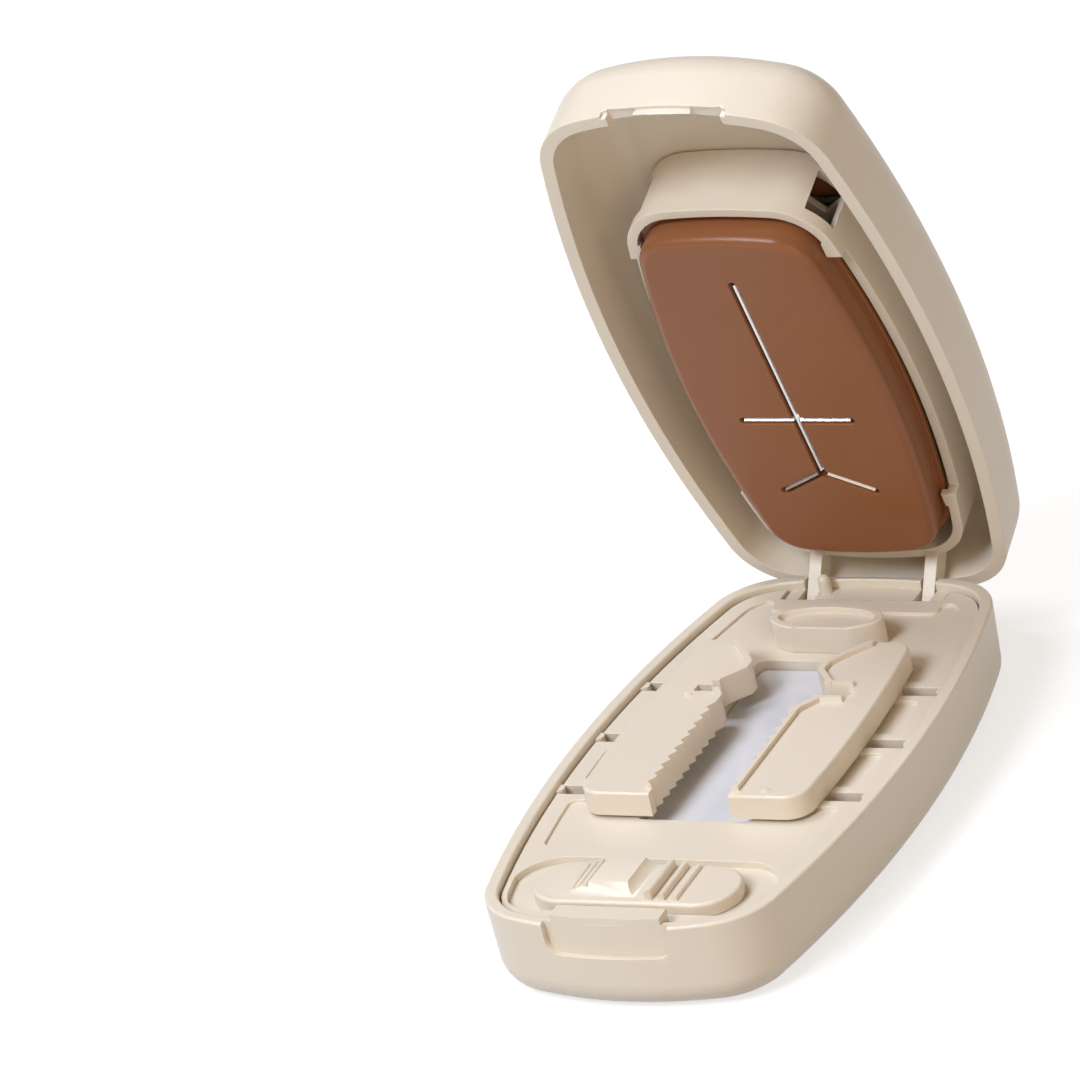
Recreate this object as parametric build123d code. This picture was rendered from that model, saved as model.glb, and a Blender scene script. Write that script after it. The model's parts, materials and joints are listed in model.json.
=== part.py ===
from build123d import *
import math
import os

# Case outline seen from above: a barrel-sided oblong
body_length = 99.4
body_width = 51.0
half_length = body_length / 2
half_width = body_width / 2
side_bulge = 6.4
front_bulge = 6.9
rear_bulge = 6.0
front_corner = 10.8
rear_corner = 10.2

# Base shell
base_height = 13.2
base_wall = 1.9
base_floor = 2.0
base_draft = 2.3
base_round = 4.6
floor_round = 3.0
rim_round = 0.4
ledge_width = 1.3

# Deck
deck_drop = 1.0
deck_thickness = 1.8
deck_gap = 0.3
panel_depth = 0.45
panel_margin = 2.9
panel_corner = 1.2
post_radius = 2.2
post_side = 0.588 * half_width
post_front = 10.2 - half_length
post_rear = half_length - 12.2

# Jaws, which end at set distances from the two ends of the case
jaw_height = 3.6
jaw_inner = 0.2314 * half_width
jaw_outer = 0.6784 * half_width
jaw_front = 31.1 - half_length
jaw_rear = half_length - 24.7
jaw_closing = 2 / 17 * half_width
jaw_opening = 2 / 15 * half_width
jaw_front_corner = 3.4
jaw_rear_corner = 2.6
jaw_front_narrowing = 0.4
jaw_rear_narrowing = 1.3
jaw_widest_y = jaw_front + 14.6
jaw_slide_gap = 0.1
lip_height = 0.7
lip_width = 1.1
lip_start = 1.4
tooth_pitch = 2.3
tooth_depth = 0.8
right_grip_rear = jaw_rear - 20.6
left_grip_rear = jaw_rear - 17.2
flare_width = 2.0
flare_length = 3.2
vertex_inner = jaw_inner - 0.6
vertex_front = jaw_rear - 9.4
vertex_rear = jaw_rear - 7.6
notch_rear = jaw_rear - 12.7
seat_width = 5.2
seat_bow = 0.9
pocket_depth = 1.2
pocket_width = 3.4
pocket_shift = 0.6
pocket_reach = jaw_inner + 7.2
ridge_width = 0.9
ridge_length = 4.4
slit_width = 1.75
slit_shift = 0.2
nub_size = 1.1
nub_height = 0.5

# Slots that the jaws' feet run in, a third of the jaws' length apart
slot_width = 2.3
slot_pitch = (jaw_rear - jaw_front) / 3
slot_middle = (jaw_rear + jaw_front) / 2 - 0.5
slot_land = 2.7
rib_radius = 1.0

# Cutting plate
plate_half_width = 0.3373 * half_width
plate_front = jaw_front + 0.3
plate_rear = jaw_rear + 1.0
plate_thickness = 1.2
plate_recess = 1.9
plate_corner = 1.2
tray_floor = 1.0
tray_wall = 1.2
plate_gap = 0.15

# Feet, carriers and pinion under the deck
foot_inner = 0.549 * half_width
foot_length = 2.2
foot_clearance = 0.2
slot_end_clearance = 1.6
slot_inner_end = foot_inner - jaw_closing - slot_end_clearance
carrier_thickness = 2.2
carrier_drop = 0.2
carrier_width = 3.4
carrier_margin = 0.6
arm_width = 2.2
pinion_y = 21.7 - half_length
gear_module = 0.8
pinion_teeth = 10
pressure_angle = 25.0
tooth_addendum = 0.62
tooth_dedendum = 0.9
gear_backlash = 0.12
pinion_thickness = 2.4
pinion_post_radius = 1.5
pinion_post_gap = 0.3
running_clearance = 0.05
rack_overrun = 2.5
carrier_wall_gap = 0.4

# Jaw slider
slider_half_length = 0.5882 * half_width
slider_offset = 0.2
slider_y = 12.05 - half_length
slider_width = 10.5
slider_thickness = 2.0
slider_round = 0.5
grip_height = 1.3
grip_start = -9.4
grip_plateau_start = -5.2
grip_plateau_end = -0.3
grip_end = 2.6
grip_scoop = 0.9
grip_front = 3.9
grip_front_slope = 2.1
grip_rear = 4.8
fine_rib_radius = 0.32
fine_rib_pitch = 1.1
fine_rib_length = 6.4
tall_rib_width = 0.9
tall_rib_pitch = 1.9
tall_rib_step = 0.35
tall_rib_length = 8.6
slider_pocket_depth = 1.0
slider_pocket_reach = slider_half_length + jaw_opening + 0.9
slider_pocket_front = 6.1 - half_length
slider_pocket_rear = 20.1 - half_length
slider_foot_length = 4.4
slider_foot_width = 2.6

# Pill stop
stop_half_length = 0.3353 * half_width
stop_front = jaw_rear + 2.9
stop_rear = jaw_rear + 10.7
stop_height = 3.6
stop_wall = 1.3
stop_dish = 0.9
stop_round = 0.3
stop_flat = 0.5

# Latch and finger notch at the front
latch_half_width = 0.3137 * half_width
latch_reach = 3.1
latch_inset = 1.1
latch_height = 1.0
latch_clearance = 0.4
notch_half_width = latch_half_width + 1.2
notch_height = 4.7
notch_depth = 0.9
notch_corner = 2.2
lid_notch_height = 1.2
lid_notch_depth = 0.5

# Lid shell
lid_height = 15.0
lid_wall = 2.0
lid_draft = 1.5
lid_round = 8.0
parting_gap = 0.1
lid_opening = 68.2

# Hinge at the rear
hinge_inset = 2.2
hinge_drop = 3.6
hinge_pin_radius = 0.6
hinge_eye_radius = 2.0
hinge_relief_radius = 3.5
arm_centre = 0.349 * half_width
arm_thickness = 1.9
arm_side_gap = 0.3
arm_link_width = 3.2
arm_link_shift = 0.3
arm_root_rise = 2.0
lug_thickness = 2.0
hinge_relief_half = arm_centre + 5.6
hinge_block_depth = 5.6
hinge_block_drop = 1.4
deck_notch_half = arm_centre + 3.6
deck_notch_front = half_length - 6.5
panel_surround = 3.4
panel_wrap = 0.3
detent_radius = 0.93
detent_height = 1.4
detent_gap = 0.1
detent_y = half_length - 3.5

# Press guide inside the lid, with the outline that the button shares
guide_half_width = half_width - 7.3
guide_front = 20.9 - half_length
guide_rear = half_length - 5.7
guide_side_bulge = 4.4
guide_front_bulge = 2.1
guide_rear_bulge = 2.6
guide_corner = 8.5
guide_wall = 1.5
guide_seat_gap = 0.25
guide_rim_tall = 1.6
guide_rim_low = 3.3
guide_front_wrap = guide_front + 9.8
guide_rear_wrap = guide_rear - 14.0
shelf_thickness = 1.0
window_low = 3.7
window_high = 10.6
window_width = 5.0
window_depth = 8.0
window_inset = 2.2
window_y = guide_front + 5.0
window_turn = 37.5
hook_reach = 0.8
hook_height = 1.0
hook_length = 2.6

# Button panel and blade carrier
panel_inset = 1.2
panel_gap = 0.25
panel_thickness = 2.0
panel_round = 0.5
button_travel = 1.0
carrier_plate = 1.3
carrier_gap = 0.25
catch_x = guide_half_width - 7.4
catch_y = (guide_rear + guide_front) / 2 - 11.6
catch_length = 5.0
catch_thickness = 1.5
catch_reach = 0.7
catch_hook = 0.9
catch_clearance = 0.2

# Blades
blade_thickness = 0.9
blade_bevel = 0.55
blade_edge_depth = -1.85
blade_seat = 0.9
long_blade_front = jaw_front + 1.4
long_blade_rear = jaw_rear - 3.8
cross_blade_y = jaw_rear - 14.4
cross_blade_half = 0.3157 * half_width
branch_y = long_blade_rear + 0.4
branch_start = 0.8
branch_length = 7.8
branch_angle = 29.0

# Blade guard
guard_gap = 1.1
guard_rear_gap = 2.9
guard_side_bulge = 3.6
guard_end_bulge = 2.0
flange_gap = 0.3
guard_face_depth = -1.9
guard_face_thickness = 2.0
guard_wall = 1.6
guard_round = 1.5
flange_width = 0.75
flange_thickness = 0.9
blade_slot = 1.35
shelf_slot = 1.9

# Springs, as the envelopes of their coils
guard_spring_radius = 2.3
guard_spring_front = guide_front + 6.5
guard_spring_rear = guide_rear - 12.5
button_spring_radius = 2.0
button_spring_x = guide_half_width - 8.2
button_spring_y = (guide_rear + guide_front) / 2 + 8.9
spring_wire = 0.5
spring_seat = 0.1
spring_cup_gap = 0.2
spring_cup_wall = 0.8
spring_cup_depth = 3.4

# Places worked out from the sizes above
deck_top = base_height - deck_drop
deck_bottom = deck_top - deck_thickness
plate_top = deck_top - plate_recess
jaw_top = deck_top + jaw_height
carrier_top = deck_bottom - carrier_drop
carrier_bottom = carrier_top - carrier_thickness
pitch_radius = gear_module * pinion_teeth / 2
hinge_y = half_length - hinge_inset
hinge_z = base_height - hinge_drop
hinge_axis = Axis((0, hinge_y, hinge_z), (1, 0, 0))
slot_rows = [slot_middle + step * slot_pitch for step in (-1, 0, 1)]
carrier_bottom_depth = lid_height - panel_thickness - carrier_plate
shelf_top = carrier_bottom_depth - button_travel - 0.1
shelf_bottom = shelf_top - shelf_thickness


class Barrel:
    """An oblong of four large arcs joined by four tangent corner arcs, symmetric about x = 0."""

    def __init__(self, width, front, rear, sides, front_end, rear_end, front_corners, rear_corners):
        self.width = width
        self.front = front
        self.rear = rear
        self.middle = (front + rear) / 2
        reach = (rear - front) / 2
        self.side_radius = (reach**2 + sides**2) / (2 * sides)
        self.side_centre = Vector(width - self.side_radius, self.middle)
        self.ends = []
        corners = ((front_end, front_corners, front, 1), (rear_end, rear_corners, rear, -1))
        for bulge, corner, tip, way in corners:
            radius = (width**2 + bulge**2) / (2 * bulge)
            self.ends.append((radius, Vector(0, tip + way * radius), corner, way))

    def corner_centre(self, radius, centre, corner, way):
        """Where a circle of the corner's radius touches both the side and the end from within."""
        span = centre - self.side_centre
        side_reach = self.side_radius - corner
        end_reach = radius - corner
        along = (side_reach**2 - end_reach**2 + span.length**2) / (2 * span.length)
        across = math.sqrt(side_reach**2 - along**2)
        direction = span.normalized()
        normal = Vector(direction.Y, -direction.X) * way
        return self.side_centre + direction * along + normal * across

    def side_at(self, y, inset=0.0):
        """Distance of the side from the middle line at a given y."""
        rise = self.side_radius - inset
        return self.side_centre.X + math.sqrt(rise**2 - (y - self.middle) ** 2)

    def face(self, inset=0.0):
        """The outline as a face, drawn in by inset."""
        touches = []
        for radius, centre, corner, way in self.ends:
            middle = self.corner_centre(radius, centre, corner, way)
            to_end = (middle - centre).normalized()
            to_side = (middle - self.side_centre).normalized()
            end_touch = centre + to_end * (radius - inset)
            side_touch = self.side_centre + to_side * (self.side_radius - inset)
            bisector = (to_end + to_side).normalized()
            touches.append((end_touch, middle + bisector * (corner - inset), side_touch))
        (front_end, front_mid, front_side), (rear_end, rear_mid, rear_side) = touches
        right = [
            (front_end, front_mid, front_side),
            (front_side, Vector(self.width - inset, self.middle), rear_side),
            (rear_side, rear_mid, rear_end),
        ]
        arcs = [(mirrored(front_end), Vector(0, self.front + inset), front_end)]
        arcs += right
        arcs += [(rear_end, Vector(0, self.rear - inset), mirrored(rear_end))]
        arcs += [(mirrored(end), mirrored(middle), mirrored(start)) for start, middle, end in reversed(right)]
        return make_face([ThreePointArc(*arc) for arc in arcs])


def mirrored(point):
    """The same point on the other side of the middle line."""
    return Vector(-point.X, point.Y)


case = Barrel(
    half_width, -half_length, half_length, side_bulge, front_bulge, rear_bulge, front_corner, rear_corner
)
guide = Barrel(
    guide_half_width, guide_front, guide_rear, guide_side_bulge,
    guide_front_bulge, guide_rear_bulge, guide_corner, guide_corner,
)
guard_inset = guide_wall + guard_gap
guard = Barrel(
    guide_half_width - guard_inset, guide_front + guard_inset, guide_rear - guide_wall - guard_rear_gap,
    guard_side_bulge, guard_end_bulge, guard_end_bulge, guide_corner - guard_inset, guide_corner - guard_inset,
)


def block(x_range, y_range, z_range):
    """A box between two x, two y and two z values."""
    sizes = [high - low for low, high in (x_range, y_range, z_range)]
    centre = [(high + low) / 2 for low, high in (x_range, y_range, z_range)]
    return Pos(*centre) * Box(*sizes)


def rod(radius, low, high, x=0.0, y=0.0):
    """An upright cylinder between two heights."""
    return Pos(x, y, (low + high) / 2) * Cylinder(radius, high - low)


def cross_rod(radius, x_range, y, z):
    """A cylinder along X between two x values."""
    low, high = x_range
    return Pos((low + high) / 2, y, z) * Rot(0, 90, 0) * Cylinder(radius, high - low)


def both_sides(shape):
    """The shape and its mirror image across the middle plane."""
    return shape + mirror(shape, Plane.YZ)


def at_depth(depth):
    """Height of a depth inside the closed lid, measured from the parting plane."""
    return base_height + depth


def lid_layer(face, low, high):
    """A face of the closed lid's plan as a slab between two depths."""
    return extrude(Pos(0, 0, at_depth(low)) * face, high - low)


def opened(shape):
    """Turns a shape of the closed lid to the open rest position."""
    return shape.rotate(hinge_axis, -lid_opening)


def drafted_down(face, top, height):
    """A face drawn down from a height with the base's draft."""
    return extrude(Pos(0, 0, top) * face, height, dir=(0, 0, -1), taper=base_draft)


def arm_slots():
    """The two slots of the hinge arms, cut from the front, the top and the rear."""
    inner = arm_centre - arm_thickness / 2 - arm_side_gap
    outer = arm_centre + arm_thickness / 2 + arm_side_gap
    slot_radius = hinge_eye_radius + arm_side_gap
    front = half_length - hinge_block_depth - 1
    slot = block((inner, outer), (front, half_length + 1), (hinge_z, base_height + 1))
    slot += block((inner, outer), (front, hinge_y), (hinge_z - slot_radius, base_height + 1))
    slot += cross_rod(slot_radius, (inner, outer), hinge_y, hinge_z)
    return both_sides(slot)


def hinge_block(body):
    """The lugs that hold the hinge pin, kept inside the base's outer form."""
    reach = arm_centre + arm_thickness / 2 + arm_side_gap + lug_thickness
    front = half_length - hinge_block_depth
    lugs = block((-reach, reach), (front, half_length), (base_floor, base_height - hinge_block_drop))
    return lugs & body


def hinge_relief():
    """What the lid's rear wall sweeps through, rounded about the hinge axis."""
    corner = block(
        (-hinge_relief_half, hinge_relief_half),
        (hinge_y, half_length + 1),
        (hinge_z, base_height + 1),
    )
    return corner - cross_rod(hinge_relief_radius, (-hinge_relief_half, hinge_relief_half), hinge_y, hinge_z)


def notch_prism(foot, top, corner):
    """A rounded U standing in the front wall between two heights, open at the top or the bottom."""
    height = abs(top - foot)
    outline = Rectangle(2 * notch_half_width, height)
    outline = fillet(outline.vertices().group_by(Axis.Y)[0 if top > foot else -1], corner)
    face = Plane.XZ.offset(half_length - front_bulge / 2) * Pos(0, (top + foot) / 2) * outline
    return extrude(face, front_bulge)


def finger_notch():
    """The shallow scoop in the front wall, its back following the wall's curve."""
    prism = notch_prism(base_height - notch_height, base_height + 1, notch_corner)
    return prism - drafted_down(case.face(notch_depth), base_height + 2, base_height + 1)


def detent_post():
    """The round-topped post that rubs on the left arm and holds the lid where it's put."""
    x = -(arm_centre - arm_thickness / 2 - arm_side_gap - detent_gap - detent_radius)
    foot = base_height - hinge_block_drop - 0.5
    top = base_height + detent_height - detent_radius
    return rod(detent_radius, foot, top, x, detent_y) + Pos(x, detent_y, top) * Sphere(detent_radius)


def base_shell():
    body = drafted_down(case.face(), base_height, base_height)
    body = fillet(body.edges().group_by(Axis.Z)[0], base_round)
    room = drafted_down(case.face(base_wall + ledge_width), deck_bottom, deck_bottom - base_floor)
    room = fillet(room.edges().group_by(Axis.Z)[0], floor_round)
    shell = body - room
    shell -= extrude(Pos(0, 0, deck_bottom) * case.face(base_wall), base_height - deck_bottom)
    shell = fillet(shell.edges().group_by(Axis.Z)[-1], rim_round)
    for row in slot_rows:
        wall_x = case.side_at(row, base_wall)
        rib = rod(rib_radius, deck_bottom, base_height - 2 * rim_round, wall_x, row)
        shell += both_sides(rib)
    shell += hinge_block(body)
    shell += detent_post()
    shell -= hinge_relief()
    shell -= arm_slots()
    pin_hole = hinge_pin_radius + running_clearance
    shell -= cross_rod(pin_hole, (-pin_reach(), pin_reach()), hinge_y, hinge_z)
    for y in (post_front, post_rear):
        shell += both_sides(rod(post_radius, base_floor / 2, deck_bottom, post_side, y))
    shell += rod(2 * pinion_post_radius, base_floor / 2, pinion_bottom() - 0.1, 0, pinion_y)
    shell += rod(pinion_post_radius, base_floor / 2, deck_bottom - pinion_post_gap, 0, pinion_y)
    latch_front = -half_length + latch_inset
    shell += block(
        (-latch_half_width, latch_half_width),
        (latch_front, latch_front + latch_reach),
        (deck_top + 0.1, base_height + latch_height),
    )
    return shell - finger_notch()


def pin_reach():
    """Half the hinge pin's length: it ends inside the outer lugs."""
    return arm_centre + arm_thickness / 2 + arm_side_gap + lug_thickness / 2


def hinge_pin():
    return cross_rod(hinge_pin_radius, (-pin_reach() + 0.1, pin_reach() - 0.1), hinge_y, hinge_z)


def deck_panels():
    """The shallow panels between the slots, each following the rim at one margin."""
    field = case.face(base_wall + panel_margin)
    surround = deck_notch_half + panel_wrap
    reach = half_length - deck_notch_front + panel_surround
    trough = Pos(0, half_length) * Rectangle(2 * surround, 2 * reach)
    rows = [slider_pocket_rear] + slot_rows + [half_length + slot_land]
    panels = []
    for near, far in zip(rows, rows[1:]):
        low = near + slot_land
        high = far - slot_land
        band = Pos(0, (low + high) / 2) * Rectangle(body_width, high - low)
        outline = (field & band) - trough
        panel = extrude(Pos(0, 0, deck_top - panel_depth) * outline, panel_depth + 1)
        corners = [
            edge
            for edge in panel.edges().filter_by(Axis.Z)
            if min(abs(edge.center().Y - low), abs(edge.center().Y - high)) < 0.001
            or abs(abs(edge.center().X) - surround) < 0.001
        ]
        panels.append(fillet(corners, panel_corner))
    return panels


def plate_opening(grow):
    """Outline of the cutting plate, widened all round."""
    length = plate_rear - plate_front
    outline = RectangleRounded(2 * (plate_half_width + grow), length + 2 * grow, plate_corner + grow)
    return Pos(0, (plate_rear + plate_front) / 2) * outline


def slider_pocket():
    """The shallow pocket that the jaw slider runs in."""
    depth = slider_pocket_rear - slider_pocket_front
    middle = (slider_pocket_rear + slider_pocket_front) / 2
    outline = Pos(0, middle) * RectangleRounded(2 * slider_pocket_reach, depth, depth / 2 - 0.6)
    outline = outline & case.face(base_wall + deck_gap + 0.8)
    return extrude(Pos(0, 0, deck_top - slider_pocket_depth) * outline, slider_pocket_depth + 1)


def deck_plate():
    deck = extrude(Pos(0, 0, deck_bottom) * case.face(base_wall + deck_gap), deck_thickness)
    tray_bottom = plate_top - plate_thickness - tray_floor
    deck += extrude(Pos(0, 0, tray_bottom) * plate_opening(tray_wall), deck_bottom - tray_bottom)
    for panel in deck_panels():
        deck -= panel
    deck -= extrude(Pos(0, 0, tray_bottom + tray_floor) * plate_opening(plate_gap), deck_top)
    deck -= slider_pocket()
    for row in slot_rows:
        slot = block(
            (slot_inner_end, half_width),
            (row - slot_width / 2, row + slot_width / 2),
            (deck_bottom - 1, deck_top + 1),
        )
        deck -= both_sides(slot)
    deck -= block(
        (-deck_notch_half, deck_notch_half), (deck_notch_front, half_length), (deck_bottom - 1, deck_top + 1)
    )
    foot_slot = slider_foot_length / 2 + foot_clearance
    deck -= block(
        (slider_offset - foot_slot - jaw_opening, slider_offset + foot_slot + jaw_closing),
        (slider_y - slider_foot_width / 2 - foot_clearance, slider_y + slider_foot_width / 2 + foot_clearance),
        (deck_bottom - 1, deck_top + 1),
    )
    return deck


def cutting_plate():
    bottom = plate_top - plate_thickness
    plate = extrude(Pos(0, 0, bottom) * plate_opening(0), plate_thickness)
    return fillet(plate.edges().group_by(Axis.Z)[-1], 0.2)


def pill_stop():
    """An oval dish behind the jaws, flattened where a pill leans on it."""
    depth = stop_rear - stop_front
    middle = (stop_rear + stop_front) / 2
    outline = Pos(0, middle) * Ellipse(stop_half_length, depth / 2)
    stop = extrude(Pos(0, 0, deck_top - panel_depth) * outline, stop_height + panel_depth)
    stop = fillet(stop.edges().group_by(Axis.Z)[-1], stop_round)
    stop -= block(
        (-stop_half_length, stop_half_length), (stop_front - 1, stop_front + stop_flat), (0, 2 * base_height)
    )
    dish = Pos(0, middle) * Ellipse(stop_half_length - stop_wall, depth / 2 - stop_wall)
    return stop - extrude(Pos(0, 0, deck_top + stop_height - stop_dish) * dish, stop_dish + 1)


def jaw_outline(grip_rear):
    """Plan of a jaw on the right: bowed outside, straight grip inside, then a notch and a rounded seat."""
    side_front = (jaw_outer - jaw_front_narrowing, jaw_front + jaw_front_corner)
    front_end = (side_front[0] - jaw_front_corner, jaw_front)
    side_rear = (jaw_outer - jaw_rear_narrowing, jaw_rear - jaw_rear_corner)
    rear_end = (side_rear[0] - jaw_rear_corner, jaw_rear)
    seat_rear = (jaw_inner + seat_width, jaw_rear - jaw_slide_gap)
    seat_middle = (jaw_inner + seat_width / 2, (vertex_rear + jaw_rear) / 2 + seat_bow)
    notch_side = jaw_inner + flare_width
    inside = Polyline(
        (jaw_inner, jaw_front),
        (jaw_inner, grip_rear),
        (notch_side, grip_rear + flare_length),
        (notch_side, notch_rear),
        (vertex_inner, vertex_front),
        (vertex_inner, vertex_rear),
    )
    edges = [
        inside,
        ThreePointArc((vertex_inner, vertex_rear), seat_middle, seat_rear),
        Line(seat_rear, rear_end),
        RadiusArc(rear_end, side_rear, jaw_rear_corner),
        ThreePointArc(side_rear, (jaw_outer, jaw_widest_y), side_front),
        RadiusArc(side_front, front_end, jaw_front_corner),
        Line(front_end, (jaw_inner, jaw_front)),
    ]
    return make_face(edges)


def nub(x, y, base):
    """A small pyramid that marks the jaw's top."""
    foot = Pos(x, y, base) * Rot(0, 0, 45) * Rectangle(nub_size, nub_size)
    return extrude(foot, nub_height, taper=35)


def grip_notches(grip_rear):
    """The row of V notches down the jaw's grip face."""
    notches = []
    first = jaw_front + lip_start
    count = int((grip_rear - first) / tooth_pitch)
    for index in range(count):
        y = first + index * tooth_pitch
        corners = [
            (jaw_inner - tooth_depth, y),
            (jaw_inner, y),
            (jaw_inner + tooth_depth, y + tooth_pitch / 3),
            (jaw_inner, y + tooth_pitch),
            (jaw_inner - tooth_depth, y + tooth_pitch),
        ]
        outline = make_face(Polyline(*corners, close=True))
        notches.append(extrude(outline, 2 * base_height))
    return notches


def jaw(grip_rear):
    """A jaw on the right with its lip, grip, feet and the slit that lets the cross blade down."""
    outline = jaw_outline(grip_rear)
    bottom = deck_top + jaw_slide_gap
    solid = extrude(Pos(0, 0, bottom) * outline, jaw_top - bottom)
    outer_edges = solid.edges().group_by(Axis.Z)[-1].filter_by(lambda edge: edge.center().X > pocket_reach)
    solid = fillet(outer_edges, rim_round)
    lip = outline - Pos(lip_width, 0) * outline
    lip &= Pos(jaw_inner, 0) * Rectangle(2 * seat_width - lip_width, 2 * half_length)
    lip -= Pos(0, jaw_front) * Rectangle(body_width, 2 * lip_start)
    solid += extrude(Pos(0, 0, jaw_top) * lip, lip_height)
    slit_y = cross_blade_y + slit_shift
    solid -= block(
        (0, cross_blade_half + jaw_closing + foot_clearance),
        (slit_y - slit_width / 2, slit_y + slit_width / 2),
        (0, 2 * base_height),
    )
    for notch in grip_notches(grip_rear):
        solid -= notch
    for row in slot_rows:
        half = slot_width / 2 - foot_clearance
        solid += block(
            (foot_inner, foot_inner + foot_length), (row - half, row + half), (carrier_top, bottom)
        )
    return solid


def cross_pocket():
    """The shallow round-ended pocket beside the right jaw's notch."""
    y = cross_blade_y - pocket_shift
    end = pocket_reach - pocket_width / 2
    heights = (jaw_top - pocket_depth, 2 * base_height)
    pocket = block((0, end), (y - pocket_width / 2, y + pocket_width / 2), heights)
    return pocket + rod(pocket_width / 2, *heights, end, y)


def pocket_ridges():
    """The two low ridges that carry the lip outwards along the pocket."""
    start = jaw_inner + flare_width
    ridges = []
    for side in (-1, 1):
        y = cross_blade_y - pocket_shift + side * (pocket_width + ridge_width) / 2
        plan = Pos(start + ridge_length / 2, y, jaw_top) * Rectangle(ridge_length, ridge_width)
        ridges.append(extrude(plan, lip_height, taper=12))
    return ridges


def right_jaw():
    solid = jaw(right_grip_rear)
    for ridge in pocket_ridges():
        solid += ridge
    solid -= cross_pocket()
    return solid + nub(jaw_inner + seat_width, jaw_front + lip_start, jaw_top)


def left_jaw():
    mark_x = cross_blade_half + jaw_closing + 2 * foot_clearance
    marked = jaw(left_grip_rear) + nub(mark_x, cross_blade_y - slit_width - nub_height / 2, jaw_top)
    return mirror(marked, Plane.YZ)


def rack_teeth(pitch_y, direction, x_low, x_high):
    """Rack teeth pointing along direction (+1 or -1 in Y), with a tooth space centred on x = 0."""
    pitch = math.pi * gear_module
    slope = math.tan(math.radians(pressure_angle))
    half_tooth = pitch / 4 - gear_backlash
    teeth = []
    count = int(max(abs(x_low), abs(x_high)) / pitch) + 1
    for index in range(-count, count + 1):
        x = (index + 0.5) * pitch
        if x - pitch / 2 < x_low or x + pitch / 2 > x_high:
            continue
        foot = half_tooth + tooth_dedendum * slope
        tip = half_tooth - tooth_addendum * slope
        corners = [
            (x - foot, pitch_y - direction * tooth_dedendum),
            (x - tip, pitch_y + direction * tooth_addendum),
            (x + tip, pitch_y + direction * tooth_addendum),
            (x + foot, pitch_y - direction * tooth_dedendum),
        ]
        outline = make_face(Polyline(*corners, close=True))
        teeth.append(extrude(Pos(0, 0, carrier_bottom) * outline, carrier_thickness))
    return teeth


def carrier(rack_y, direction):
    """The bar under the right jaw with its rack arm, whose teeth point along direction."""
    heights = (carrier_bottom, carrier_top)
    bar_x = (foot_inner - carrier_margin, foot_inner - carrier_margin + carrier_width)
    root_y = rack_y - direction * tooth_dedendum
    back_y = root_y - direction * arm_width
    arm_y = (min(root_y, back_y), max(root_y, back_y))
    rack_end = -(jaw_opening + rack_overrun)
    body = block(bar_x, (arm_y[0], slot_rows[-1] + slot_width), heights)
    body += block((rack_end, bar_x[1]), arm_y, heights)
    for tooth in rack_teeth(rack_y, direction, rack_end, jaw_closing + rack_overrun):
        body += tooth
    room = Pos(-jaw_opening, 0, 0) * case.face(base_wall + ledge_width + carrier_wall_gap)
    return body & extrude(room, base_height)


def right_carrier():
    return carrier(pinion_y + pitch_radius, -1)


def left_carrier():
    bar = mirror(carrier(pinion_y - pitch_radius, 1), Plane.YZ)
    back_y = pinion_y - pitch_radius - tooth_dedendum - arm_width
    lug = block(
        (slider_offset - slider_foot_length / 2, slider_offset + slider_foot_length / 2),
        (slider_y - slider_foot_width / 2, back_y + 0.5),
        (carrier_bottom, carrier_top),
    )
    return bar + lug


def pinion_bottom():
    return carrier_top - pinion_thickness


def pinion():
    """A small spur gear: involute flanks drawn as arcs, radial below the base circle."""
    base_radius = pitch_radius * math.cos(math.radians(pressure_angle))
    tip_radius = pitch_radius + tooth_addendum
    root_radius = pitch_radius - tooth_dedendum
    half_tooth = math.pi / (2 * pinion_teeth) - gear_backlash / (2 * pitch_radius)
    involute_at_pitch = math.tan(math.radians(pressure_angle)) - math.radians(pressure_angle)

    def flank(radius):
        turn = math.acos(base_radius / radius)
        angle = half_tooth + involute_at_pitch - (math.tan(turn) - turn)
        return radius, angle

    low = flank(base_radius * 1.0001)
    middle = flank((base_radius + tip_radius) / 2)
    high = flank(tip_radius)

    def place(polar, side, centre):
        radius, angle = polar
        return (radius * math.cos(centre + side * angle), radius * math.sin(centre + side * angle))

    body = Circle(root_radius)
    for index in range(pinion_teeth):
        centre = math.pi / 2 + index * 2 * math.pi / pinion_teeth
        foot = (root_radius * 0.9, low[1])
        edges = [
            Line(place(foot, -1, centre), place(low, -1, centre)),
            ThreePointArc(place(low, -1, centre), place(middle, -1, centre), place(high, -1, centre)),
            Line(place(high, -1, centre), place(high, 1, centre)),
            ThreePointArc(place(high, 1, centre), place(middle, 1, centre), place(low, 1, centre)),
            Line(place(low, 1, centre), place(foot, 1, centre)),
            Line(place(foot, 1, centre), place(foot, -1, centre)),
        ]
        body += make_face(edges)
    body -= Circle(pinion_post_radius + running_clearance)
    return extrude(Pos(0, pinion_y, pinion_bottom()) * body, pinion_thickness)


def slider_grip(top):
    """The raised thumb grip: a slope, a plateau with a sloped front, and a scooped end."""
    crest = (grip_plateau_end, grip_height)
    slope = Polyline((grip_end, 0), (grip_start, 0), (grip_plateau_start, grip_height), crest)
    scoop = ThreePointArc(crest, (grip_plateau_end + grip_scoop, grip_height / 4), (grip_end, 0))
    profile = make_face([slope, scoop])
    long_way = extrude(Plane.XZ.offset(slider_width) * profile, -2 * slider_width)
    front = Polyline(
        (-grip_front, 0),
        (grip_front_slope - grip_front, grip_height),
        (grip_rear - rim_round, grip_height),
        (grip_rear, 0),
        close=True,
    )
    cross_way = extrude(Plane.YZ.offset(-2 * slider_half_length) * make_face(front), 4 * slider_half_length)
    return Pos(slider_offset, slider_y, top) * (long_way & cross_way)


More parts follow.
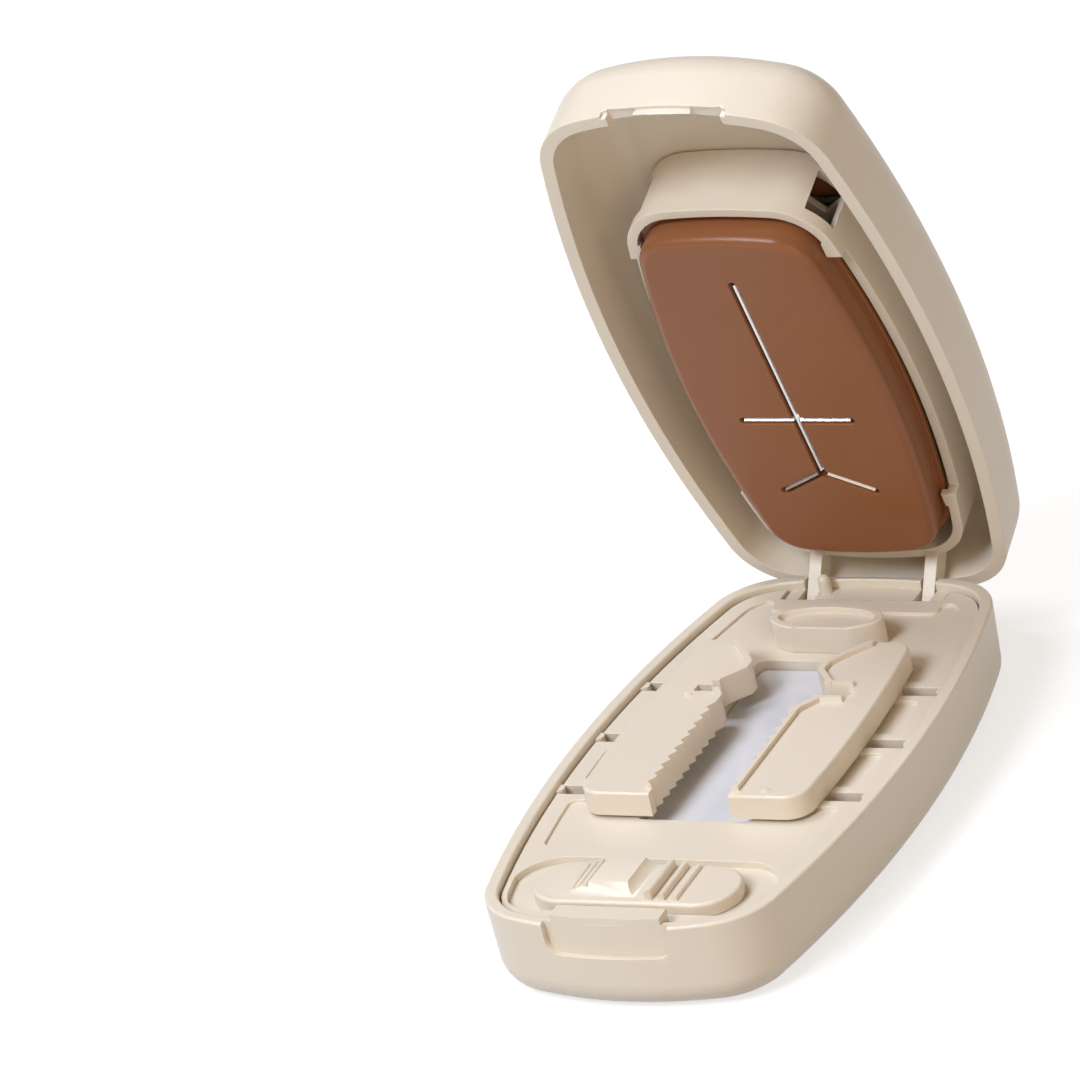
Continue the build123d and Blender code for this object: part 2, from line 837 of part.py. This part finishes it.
def slider_ribs(top):
    """Three fine ribs up the grip's slope and three tall ones stepping down beyond its scoop."""
    ribs = []
    slope = grip_height / (grip_plateau_start - grip_start)
    for index in range(3):
        x = grip_start + (index + 0.8) * fine_rib_pitch
        rib = Pos(slider_offset + x, slider_y + slider_round, top + (x - grip_start) * slope) * Rot(90, 0, 0)
        ribs.append(rib * Cylinder(fine_rib_radius, fine_rib_length))
        x = grip_end + tall_rib_width + index * tall_rib_pitch
        height = grip_height - index * tall_rib_step
        crest = top + height - tall_rib_width / 2
        wall = block(
            (slider_offset + x - tall_rib_width / 2, slider_offset + x + tall_rib_width / 2),
            (slider_y - tall_rib_length / 2, slider_y + tall_rib_length / 2),
            (top - slider_round, crest),
        )
        ribs.append(wall)
        crown = Pos(slider_offset + x, slider_y, crest) * Rot(90, 0, 0)
        ribs.append(crown * Cylinder(tall_rib_width / 2, tall_rib_length))
    return ribs


def jaw_slider():
    """The finger slider: a capsule with a raised grip, a scoop and two sets of ribs."""
    bottom = deck_top - slider_pocket_depth + jaw_slide_gap
    top = bottom + slider_thickness
    outline = SlotOverall(2 * slider_half_length, slider_width)
    slider = extrude(Pos(slider_offset, slider_y, bottom) * outline, slider_thickness)
    slider = fillet(slider.edges().group_by(Axis.Z)[-1], slider_round)
    slider += slider_grip(top)
    for rib in slider_ribs(top):
        slider += rib
    foot = block(
        (slider_offset - slider_foot_length / 2, slider_offset + slider_foot_length / 2),
        (slider_y - slider_foot_width / 2, slider_y + slider_foot_width / 2),
        (carrier_top, bottom + slider_round),
    )
    return slider + foot


def lid_form(inset, height, rounding):
    """The lid's outer form, or a smaller one inside it, closed over the parting plane."""
    body = extrude(Pos(0, 0, base_height) * case.face(inset), height, taper=lid_draft)
    return fillet(body.edges().group_by(Axis.Z)[-1], rounding)


def lid_cavity(gap=0.0):
    """The room inside the lid, drawn in by a gap."""
    return lid_form(lid_wall + gap, lid_height - lid_wall - gap, lid_round - lid_wall - gap)


def closed_lid_shell():
    shell = lid_form(0, lid_height, lid_round) - lid_cavity()
    shell -= block((-half_width, half_width), (-half_length, half_length), (0, base_height + parting_gap))
    shell -= lid_layer(guide.face(panel_inset - panel_gap), lid_height - lid_wall - 1, lid_height + 1)
    latch_front = -half_length + latch_inset - latch_clearance
    shell -= block(
        (-latch_half_width - latch_clearance, latch_half_width + latch_clearance),
        (latch_front, 0),
        (0, base_height + latch_height + latch_clearance),
    )
    return shell - lid_notch()


def lid_notch():
    """The shallow step in the lid's outer face above the finger notch."""
    prism = notch_prism(base_height + lid_notch_height, base_height - 1, lid_notch_depth)
    return prism - lid_form(lid_notch_depth, lid_height, lid_round)


def guide_rims():
    """What is cut off the guide's open end: low along the sides, taller at both ends."""
    low = block((-half_width, half_width), (-half_length, half_length), (0, at_depth(guide_rim_tall)))
    low += block(
        (-half_width, half_width), (guide_front_wrap, guide_rear_wrap), (0, at_depth(guide_rim_low))
    )
    return low


def guide_hooks():
    """Four small hooks at the ends of the tall rims that hold the guard's flange."""
    hooks = []
    bore_inset = guide_wall
    for y in (guide_front_wrap - hook_length / 2, guide_rear_wrap + hook_length / 2):
        ends = (y - hook_length / 2, y + hook_length / 2)
        outer = guide.side_at(y, bore_inset - 0.3)
        inner = max(guide.side_at(end, bore_inset + hook_reach) for end in ends)
        hook = block(
            (inner, outer),
            ends,
            (at_depth(guide_rim_tall), at_depth(guide_rim_tall) + hook_height),
        )
        hooks.append(both_sides(hook))
    return hooks


def blade_lines():
    """Each blade's run in plan: name, start point, direction in degrees and length."""
    return {
        "long_blade": ((0, long_blade_front), 90, long_blade_rear - long_blade_front),
        "cross_blade": ((-cross_blade_half, cross_blade_y), 0, 2 * cross_blade_half),
        "right_branch_blade": (branch_point(1), branch_angle, branch_length - branch_start),
        "left_branch_blade": (branch_point(-1), 180 - branch_angle, branch_length - branch_start),
    }


def branch_point(side):
    """Where a branch blade starts, just clear of the meeting point."""
    angle = math.radians(branch_angle)
    return (side * branch_start * math.cos(angle), branch_y + branch_start * math.sin(angle))


def blade_gap(width, low, high):
    """Slots of one width round all the blades, between two depths."""
    slots = []
    for (x, y), turn, length in blade_lines().values():
        plan = Pos(length / 2, 0, low) * SlotOverall(length + width, width)
        slot = extrude(plan, high - low)
        slots.append(Pos(x, y, base_height) * Rot(0, 0, turn) * slot)
    return slots


def hinge_arm():
    """One arm of the guide: an eye on the hinge pin and a link up to the guide's rear wall."""
    root_y = guide_rear - guide_wall / 2
    root_z = at_depth(guide_rim_tall + arm_root_rise)
    reach = Vector(0, root_y - hinge_y, root_z - hinge_z)
    turn = math.degrees(math.atan2(reach.Z, reach.Y))
    sides = (arm_centre - arm_thickness / 2, arm_centre + arm_thickness / 2)
    link = Pos(0, reach.length / 2, arm_link_shift) * Box(arm_thickness, reach.length, arm_link_width)
    arm = Pos(arm_centre, hinge_y, hinge_z) * Rot(turn, 0, 0) * link
    arm += cross_rod(hinge_eye_radius, sides, hinge_y, hinge_z)
    return arm + cross_rod(arm_link_width / 2, sides, root_y, root_z)


def closed_guide():
    bore = guide.face(guide_wall)
    room = lid_cavity(guide_seat_gap)
    top = lid_height
    tube = lid_layer(guide.face(), guide_rim_tall, top) - lid_layer(bore, 0, top)
    tube += lid_layer(guide.face(guide_wall - 0.2), shelf_bottom, shelf_top)
    seat = lid_height - panel_thickness - button_travel - spring_cup_gap
    tube -= lid_layer(guide.face(panel_inset - panel_gap), seat, top)
    tube &= room
    tube -= guide_rims()
    for hook in guide_hooks():
        tube += hook
    for slot in blade_gap(shelf_slot, shelf_bottom - 1, shelf_top + 1):
        tube -= slot
    tube += both_sides(spring_cup())
    tube -= both_sides(
        rod(
            button_spring_radius + spring_cup_gap,
            at_depth(shelf_bottom - spring_cup_depth + spring_cup_wall),
            at_depth(top),
            button_spring_x,
            button_spring_y,
        )
    )
    tube -= both_sides(catch_window())
    tube -= guide_window()
    tube += both_sides(hinge_arm())
    pin_hole = hinge_pin_radius + running_clearance
    tube -= cross_rod(pin_hole, (-half_width, half_width), hinge_y, hinge_z)
    return tube


def spring_cup():
    """A blind cup under the shelf for one button spring."""
    radius = button_spring_radius + spring_cup_gap + spring_cup_wall
    return rod(
        radius, at_depth(shelf_bottom - spring_cup_depth), at_depth(shelf_top), button_spring_x, button_spring_y
    )


def guide_window():
    """The window through the guide's wall at the front corners."""
    x = guide.side_at(window_y) - window_inset
    window = Box(window_depth, window_width, window_high - window_low)
    height = at_depth((window_low + window_high) / 2)
    return both_sides(Pos(x, window_y, height) * Rot(0, 0, -window_turn) * window)


def catch_window():
    """The opening in the shelf that one catch of the blade carrier passes through."""
    return block(
        (catch_x - 0.4, catch_x + catch_thickness + catch_reach + 0.3),
        (catch_y - catch_length / 2 - 0.3, catch_y + catch_length / 2 + 0.3),
        (at_depth(shelf_bottom - 1), at_depth(shelf_top + 1)),
    )


def closed_button():
    panel = lid_layer(guide.face(panel_inset), lid_height - panel_thickness, lid_height)
    return fillet(panel.edges().group_by(Axis.Z)[-1], panel_round)


def closed_carrier():
    top = lid_height - panel_thickness
    bottom = carrier_bottom_depth
    plate = lid_layer(guide.face(guide_wall + carrier_gap), bottom, top)
    for slot in blade_gap(blade_thickness + 0.04, bottom - 1, bottom + blade_seat):
        plate -= slot
    hook_bottom = shelf_bottom - catch_clearance - catch_hook
    catch = block(
        (catch_x, catch_x + catch_thickness),
        (catch_y - catch_length / 2, catch_y + catch_length / 2),
        (at_depth(hook_bottom), at_depth(bottom + 0.3)),
    )
    catch += block(
        (catch_x, catch_x + catch_thickness + catch_reach),
        (catch_y - catch_length / 2, catch_y + catch_length / 2),
        (at_depth(hook_bottom), at_depth(shelf_bottom - catch_clearance)),
    )
    return plate + both_sides(catch)


def blade_sheet(start, turn, length):
    """One blade, ground to a V along its cutting edge."""
    low = blade_edge_depth
    high = carrier_bottom_depth + blade_seat - running_clearance
    half = blade_thickness / 2
    section = [
        (0, low),
        (half, low + blade_bevel),
        (half, high),
        (-half, high),
        (-half, low + blade_bevel),
    ]
    outline = make_face(Polyline(*section, close=True))
    sheet = extrude(Plane.YZ * outline, length)
    x, y = start
    return Pos(x, y, base_height) * Rot(0, 0, turn) * sheet


def closed_blades():
    """The four blades; the long one and the cross one are halved into each other."""
    blades = {name: blade_sheet(*line) for name, line in blade_lines().items()}
    top = lid_height
    halfway = (blade_edge_depth + carrier_bottom_depth) / 2
    reach = blade_thickness / 2 + running_clearance
    crossing = block(
        (-reach, reach), (cross_blade_y - reach, cross_blade_y + reach), (at_depth(halfway), at_depth(top))
    )
    blades["long_blade"] -= crossing
    blades["cross_blade"] -= block(
        (-reach, reach), (cross_blade_y - reach, cross_blade_y + reach), (0, at_depth(halfway + 0.1))
    )
    return blades


def closed_guard():
    """The sprung block that covers the blades, with a flange that the guide's hooks hold."""
    skirt_top = guide_rim_tall + hook_height + 0.15 + flange_thickness
    body = lid_layer(guard.face(), guard_face_depth, skirt_top)
    body = fillet(body.edges().group_by(Axis.Z)[0], guard_round)
    flange_face = guard.face(-flange_width) & guide.face(guide_wall + flange_gap)
    flange = lid_layer(flange_face, skirt_top - flange_thickness, skirt_top)
    body += flange
    body -= lid_layer(guard.face(guard_wall), guard_face_depth + guard_face_thickness, skirt_top + 1)
    for slot in blade_gap(blade_slot, guard_face_depth - 1, guard_face_depth + guard_face_thickness + 1):
        body -= slot
    return body


def coil(radius, low, high, x, y):
    """The envelope of a coil spring between two depths of the lid."""
    tube = rod(radius, at_depth(low), at_depth(high), x, y)
    return tube - rod(radius - spring_wire, at_depth(low - 1), at_depth(high + 1), x, y)


def closed_springs():
    guard_back = guard_face_depth + guard_face_thickness + spring_seat
    cup_floor = shelf_bottom - spring_cup_depth + spring_cup_wall + spring_seat
    springs = {}
    for name, y in (("front", guard_spring_front), ("rear", guard_spring_rear)):
        springs[f"guard_spring_{name}"] = coil(
            guard_spring_radius, guard_back, shelf_bottom - spring_seat, 0, y
        )
    for name, x in (("left", -button_spring_x), ("right", button_spring_x)):
        springs[f"button_spring_{name}"] = coil(
            button_spring_radius, cup_floor, carrier_bottom_depth - spring_seat, x, button_spring_y
        )
    return springs


def base_nodes():
    return {
        "base_shell": base_shell(),
        "deck_plate": deck_plate(),
        "cutting_plate": cutting_plate(),
        "pill_stop": pill_stop(),
        "hinge_pin": hinge_pin(),
        "left_jaw": left_jaw(),
        "right_jaw": right_jaw(),
        "left_carrier": left_carrier(),
        "right_carrier": right_carrier(),
        "pinion": pinion(),
        "jaw_slider": jaw_slider(),
    }


def lid_nodes():
    nodes = {
        "lid_shell": closed_lid_shell(),
        "press_guide": closed_guide(),
        "button_panel": closed_button(),
        "blade_carrier": closed_carrier(),
        "blade_guard": closed_guard(),
    }
    nodes.update(closed_blades())
    nodes.update(closed_springs())
    return {name: opened(shape) for name, shape in nodes.items()}


os.makedirs("parts", exist_ok=True)
for name, shape in {**base_nodes(), **lid_nodes()}.items():
    export_step(shape, f"parts/{name}.step")
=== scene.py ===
import json
import math

import bmesh
import bpy
from mathutils import Matrix, Vector


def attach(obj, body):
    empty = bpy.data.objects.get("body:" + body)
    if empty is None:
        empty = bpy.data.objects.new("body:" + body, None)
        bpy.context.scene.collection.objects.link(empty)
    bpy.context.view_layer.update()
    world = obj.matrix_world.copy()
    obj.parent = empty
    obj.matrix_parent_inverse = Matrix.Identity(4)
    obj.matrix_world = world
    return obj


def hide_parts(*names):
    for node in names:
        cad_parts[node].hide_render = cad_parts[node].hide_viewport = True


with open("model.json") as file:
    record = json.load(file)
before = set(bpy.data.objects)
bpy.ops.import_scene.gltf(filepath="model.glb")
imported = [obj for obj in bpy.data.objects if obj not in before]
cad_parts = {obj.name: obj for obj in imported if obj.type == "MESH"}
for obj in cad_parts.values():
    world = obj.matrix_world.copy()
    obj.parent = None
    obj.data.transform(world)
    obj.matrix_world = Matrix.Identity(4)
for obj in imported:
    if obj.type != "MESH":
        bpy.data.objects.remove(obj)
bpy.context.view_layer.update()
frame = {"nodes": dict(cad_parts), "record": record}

mm = 0.001

# where the picture was taken from, fitted to the rims of the open case
shot = {
    "azimuth": 29.65,
    "elevation": 24.89,
    "roll": -12.95,
    "right": 30.43 * mm,
    "up": -39.46 * mm,
    "distance": 1010.05 * mm,
    "focalPixels": 7370.0,
    "framePixels": 1080.0,
    "sensor": 36.0,
    "near": 0.05,
    "far": 20.0,
}

# soft boxes ahead on the left, overhead and beside the lens, a card behind on the right, a white sweep
studio = {
    "target": Vector((0, 12 * mm, 40 * mm)),
    "keyReach": 1.1,
    "keySize": 0.4,
    "keyPower": 8.0,
    "keyColour": (0.92, 1.0, 1.13),
    "topReach": 1.2,
    "topSize": 0.45,
    "topPower": 6.2,
    "topColour": (0.92, 1.0, 1.13),
    "cardReach": 1.4,
    "cardSize": 0.9,
    "cardPower": 2.0,
    "cardColour": (1.0, 1.0, 1.0),
    "frontReach": 1.4,
    "frontSize": 0.8,
    "frontPower": 4.6,
    "frontColour": (1.0, 0.82, 0.62),
    "worldLight": 0.3,
    "worldShine": -0.12,
    "worldColour": (1.0, 0.82, 0.62, 1.0),
    "white": (1.0, 1.0, 1.0, 1.0),
    "floorSize": 4.0,
    "floorColour": (0.44, 0.44, 0.44, 1.0),
    "floorGlow": 0.68,
}


# right, up and back of the picture
def shotAxes():
    a = math.radians(shot["azimuth"])
    e = math.radians(shot["elevation"])
    r = math.radians(shot["roll"])
    right = Vector((math.cos(a), math.sin(a), 0))
    up = Vector((-math.sin(a) * math.sin(e), math.cos(a) * math.sin(e), math.cos(e)))
    back = Vector((math.sin(a) * math.cos(e), -math.cos(a) * math.cos(e), math.sin(e)))
    return right * math.cos(r) + up * math.sin(r), up * math.cos(r) - right * math.sin(r), back


def addObject(name, data):
    made = bpy.data.objects.new(name, data)
    bpy.context.scene.collection.objects.link(made)
    return made


def placeCamera():
    right, up, back = shotAxes()
    lens = bpy.data.cameras.new("camera")
    lens.sensor_width = shot["sensor"]
    lens.lens = shot["focalPixels"] / shot["framePixels"] * lens.sensor_width
    lens.clip_start = shot["near"]
    lens.clip_end = shot["far"]
    camera = addObject("camera", lens)
    place = back * shot["distance"] - right * shot["right"] - up * shot["up"]
    turn = Matrix((right, up, back)).transposed().to_4x4()
    camera.matrix_world = Matrix.Translation(place) @ turn
    bpy.context.scene.camera = camera


# a shader socket that takes part in Python sums
class Wire:
    def __init__(self, shading, socket):
        self.shading = shading
        self.socket = socket

    def sum(self, operation, first, second):
        return self.shading.node("ShaderNodeMath", {"operation": operation}, {0: first, 1: second})

    def __add__(self, other):
        return self.sum("ADD", self, other)

    def __radd__(self, other):
        return self.sum("ADD", other, self)

    def __sub__(self, other):
        return self.sum("SUBTRACT", self, other)

    def __rsub__(self, other):
        return self.sum("SUBTRACT", other, self)

    def __mul__(self, other):
        return self.sum("MULTIPLY", self, other)

    def __rmul__(self, other):
        return self.sum("MULTIPLY", other, self)


# the nodes behind one material, or behind the world
class Shading:
    def __init__(self, owner, outputKind="ShaderNodeOutputMaterial"):
        owner.use_nodes = True
        self.owner = owner
        self.tree = owner.node_tree
        self.tree.nodes.clear()
        self.output = self.tree.nodes.new(outputKind)

    def node(self, kind, settings=None, inputs=None, output=0):
        made = self.tree.nodes.new(kind)
        for key, value in (settings or {}).items():
            setattr(made, key, value)
        for key, value in (inputs or {}).items():
            if isinstance(value, Wire):
                self.tree.links.new(value.socket, made.inputs[key])
            else:
                made.inputs[key].default_value = value
        return Wire(self, made.outputs[output])

    def noise(self, scale, detail=4.0, roughness=0.5, stretch=(1.0, 1.0, 1.0)):
        where = self.node("ShaderNodeTexCoord", output="Object")
        where = self.node("ShaderNodeMapping", inputs={"Vector": where, "Scale": stretch})
        texture = {"Vector": where, "Scale": scale, "Detail": detail, "Roughness": roughness}
        return self.node("ShaderNodeTexNoise", inputs=texture)

    def pebbles(self, scale):
        where = self.node("ShaderNodeTexCoord", output="Object")
        return self.node("ShaderNodeTexVoronoi", {"feature": "SMOOTH_F1"}, {"Vector": where, "Scale": scale})

    def blend(self, factor, first, second):
        return self.node("ShaderNodeMix", {"data_type": "RGBA"}, {0: factor, 6: first, 7: second}, output=2)

    def bump(self, height, strength, distance):
        return self.node("ShaderNodeBump", inputs={"Height": height, "Strength": strength, "Distance": distance})

    def show(self, shader):
        self.tree.links.new(shader.socket, self.output.inputs["Surface"])
        return self.owner

    def surface(self, **inputs):
        named = {key.replace("_", " "): value for key, value in inputs.items()}
        return self.show(self.node("ShaderNodeBsdfPrincipled", inputs=named))


# a screen colour, 0 to 255, as the shader's own numbers
def linear(red, green, blue):
    def one(value):
        value /= 255
        return value / 12.92 if value <= 0.04045 else ((value + 0.055) / 1.055) ** 2.4
    return (one(red), one(green), one(blue), 1.0)


def newShading(name):
    return Shading(bpy.data.materials.new(name))


# satin moulded cream with a faint spark-eroded grain and a slow drift of colour
def creamPlastic():
    shading = newShading("creamPlastic")
    drift = shading.noise(28.0, detail=3.0)
    grain = shading.noise(9000.0, detail=2.0)
    return shading.surface(
        Base_Color=shading.blend(drift, linear(228, 217, 200), linear(221, 209, 191)),
        Roughness=0.29 + 0.08 * drift + 0.05 * grain,
        Normal=shading.bump(grain, 0.06, 0.04 * mm),
        IOR=1.5, Subsurface_Weight=0.15, Subsurface_Radius=(1.0, 0.7, 0.4), Subsurface_Scale=1.2 * mm,
    )


# matte brown moulding of the guard, close grained
def brownPlastic():
    shading = newShading("brownPlastic")
    drift = shading.noise(45.0, detail=5.0, roughness=0.6)
    grain = shading.noise(7000.0, detail=3.0)
    return shading.surface(
        Base_Color=shading.blend(drift, linear(148, 94, 58), linear(136, 85, 51)),
        Roughness=0.26 + 0.1 * grain,
        Normal=shading.bump(grain, 0.12, 0.05 * mm),
        IOR=1.36,
    )


# soft-touch brown of the button, finely pebbled like a thin coat of rubber
def brownTouch():
    shading = newShading("brownTouch")
    cloud = shading.noise(70.0, detail=7.0, roughness=0.65)
    return shading.surface(
        Base_Color=shading.blend(cloud, linear(136, 88, 58), linear(116, 73, 47)),
        Roughness=0.56 + 0.12 * cloud,
        Normal=shading.bump(shading.pebbles(3200.0), 0.22, 0.08 * mm),
        IOR=1.4,
    )


# ground blade steel, brushed across the edge
def bladeSteel():
    shading = newShading("bladeSteel")
    lines = shading.noise(900.0, detail=2.0, stretch=(0.2, 6.0, 6.0))
    return shading.surface(Base_Color=(0.92, 0.93, 0.95, 1.0), Metallic=1.0, Roughness=0.3 + 0.08 * lines)


def pinSteel():
    shading = newShading("pinSteel")
    lines = shading.noise(2500.0, detail=2.0)
    return shading.surface(Base_Color=(0.6, 0.6, 0.61, 1.0), Metallic=1.0, Roughness=0.22 + 0.1 * lines)


# glossy pale grey cutting plate
def greyPlate():
    shading = newShading("greyPlate")
    smear = shading.noise(140.0)
    return shading.surface(
        Base_Color=shading.blend(smear, linear(222, 222, 226), linear(208, 209, 214)),
        Roughness=0.09 + 0.06 * smear,
        IOR=1.5, Coat_Weight=0.5, Coat_Roughness=0.05,
    )


def whiteAcetal():
    shading = newShading("whiteAcetal")
    smear = shading.noise(300.0)
    colour = shading.blend(smear, linear(240, 239, 233), linear(232, 230, 222))
    return shading.surface(Base_Color=colour, Roughness=0.3 + 0.1 * smear)


def dress(piece, material):
    piece.data.materials.clear()
    piece.data.materials.append(material)


def bodyOf(nodeName):
    for body, nodes in frame["record"]["behaviour"]["bodies"].items():
        if nodeName in nodes:
            return body


softening = {
    "creaseDegrees": 40.0,
    "flatDegrees": 0.6,
    "mergeReach": 0.0005 * mm,
    "segments": 2,
    "normalWeight": 60,
    "broad": ("lid_shell", "press_guide", "pill_stop", "button_panel", "blade_guard"),
}


# a merged copy of a moulding, with its hard edges rounded as a mould leaves them
def softenedCopy(nodeName, width):
    shell = bmesh.new()
    shell.from_mesh(frame["nodes"][nodeName].data)
    bmesh.ops.remove_doubles(shell, verts=shell.verts, dist=softening["mergeReach"])
    bmesh.ops.dissolve_limit(
        shell, angle_limit=math.radians(softening["flatDegrees"]), verts=shell.verts, edges=shell.edges
    )
    mesh = bpy.data.meshes.new(nodeName + "Moulding")
    shell.to_mesh(mesh)
    shell.free()
    mesh.shade_smooth()
    piece = addObject(nodeName + "Moulding", mesh)
    if width:
        bevel = piece.modifiers.new("edges", "BEVEL")
        bevel.width = width
        bevel.segments = softening["segments"]
        bevel.limit_method = "ANGLE"
        bevel.angle_limit = math.radians(softening["creaseDegrees"])
        bevel.miter_outer = "MITER_ARC"
        bevel.use_clamp_overlap = nodeName not in softening["broad"]
    normals = piece.modifiers.new("normals", "WEIGHTED_NORMAL")
    normals.keep_sharp = True
    normals.weight = softening["normalWeight"]
    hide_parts(nodeName)
    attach(piece, bodyOf(nodeName))
    return piece


def addLamp(name, direction):
    light = bpy.data.lights.new(name + "Lamp", "AREA")
    light.size = studio[name + "Size"]
    light.energy = studio[name + "Power"]
    light.color = studio[name + "Colour"]
    lamp = addObject(name + "Lamp", light)
    lamp.location = studio["target"] + direction.normalized() * studio[name + "Reach"]
    lamp.rotation_mode = "QUATERNION"
    lamp.rotation_quaternion = direction.to_track_quat("Z", "Y")


def buildLamps():
    right, up, back = shotAxes()
    high = Vector((0, 0, 1))
    addLamp("key", back * 0.9 + high * 0.6 - right * 0.9)
    addLamp("top", high - right * 0.35 - back * 0.2)
    addLamp("card", right - back * 0.5 + high * 0.25)
    addLamp("front", back + right * 0.25 - high * 0.1)


def buildWorld():
    world = bpy.data.worlds.new("studio")
    bpy.context.scene.world = world
    sky = Shading(world, "ShaderNodeOutputWorld")
    seen = sky.node("ShaderNodeLightPath", output="Is Camera Ray")
    mirrored = sky.node("ShaderNodeLightPath", output="Is Glossy Ray")
    level = studio["worldLight"]
    strength = level + (1 - level) * seen + studio["worldShine"] * mirrored
    colour = sky.blend(seen, studio["worldColour"], studio["white"])
    sky.show(sky.node("ShaderNodeBackground", inputs={"Color": colour, "Strength": strength}))


# white sweep that keeps the soft shadow under the case
def buildFloor():
    plane = bmesh.new()
    bmesh.ops.create_grid(plane, x_segments=1, y_segments=1, size=studio["floorSize"])
    mesh = bpy.data.meshes.new("floor")
    plane.to_mesh(mesh)
    plane.free()
    floor = addObject("floor", mesh)
    shading = newShading("floorWhite")
    seen = shading.node("ShaderNodeLightPath", output="Is Camera Ray")
    mirrored = shading.node("ShaderNodeLightPath", output="Is Glossy Ray")
    level = (seen + mirrored) * studio["floorGlow"]
    matte = shading.node("ShaderNodeBsdfDiffuse", inputs={"Color": studio["floorColour"]})
    glow = shading.node("ShaderNodeEmission", inputs={"Color": studio["white"], "Strength": level})
    dress(floor, shading.show(shading.node("ShaderNodeAddShader", inputs={0: matte, 1: glow})))


placeCamera()
buildWorld()
buildLamps()
buildFloor()
print("studio ready")

cream = creamPlastic()
brown = brownPlastic()
touch = brownTouch()
steel = bladeSteel()
wire = pinSteel()
acetal = whiteAcetal()
print("materials ready")

# each moulding with the width of its softened edges in mm
mouldings = {
    "base_shell": (0.12, cream),
    "deck_plate": (0.12, cream),
    "pill_stop": (0.14, cream),
    "left_jaw": (0.1, cream),
    "right_jaw": (0.1, cream),
    "left_carrier": (0.08, cream),
    "right_carrier": (0.08, cream),
    "jaw_slider": (0.1, cream),
    "lid_shell": (0.12, cream),
    "press_guide": (0.1, cream),
    "button_panel": (0.1, touch),
    "blade_carrier": (0.08, brown),
    "blade_guard": (0.1, brown),
    "cutting_plate": (0, greyPlate()),
}
for nodeName, (width, material) in mouldings.items():
    dress(softenedCopy(nodeName, width * mm), material)
print("mouldings dressed")

for nodeName in ("long_blade", "cross_blade", "left_branch_blade", "right_branch_blade"):
    dress(frame["nodes"][nodeName], steel)
for nodeName in (
    "hinge_pin", "guard_spring_front", "guard_spring_rear", "button_spring_left", "button_spring_right",
):
    dress(frame["nodes"][nodeName], wire)
dress(frame["nodes"]["pinion"], acetal)
print("steel dressed")

bpy.context.scene.view_settings.view_transform = "Standard"
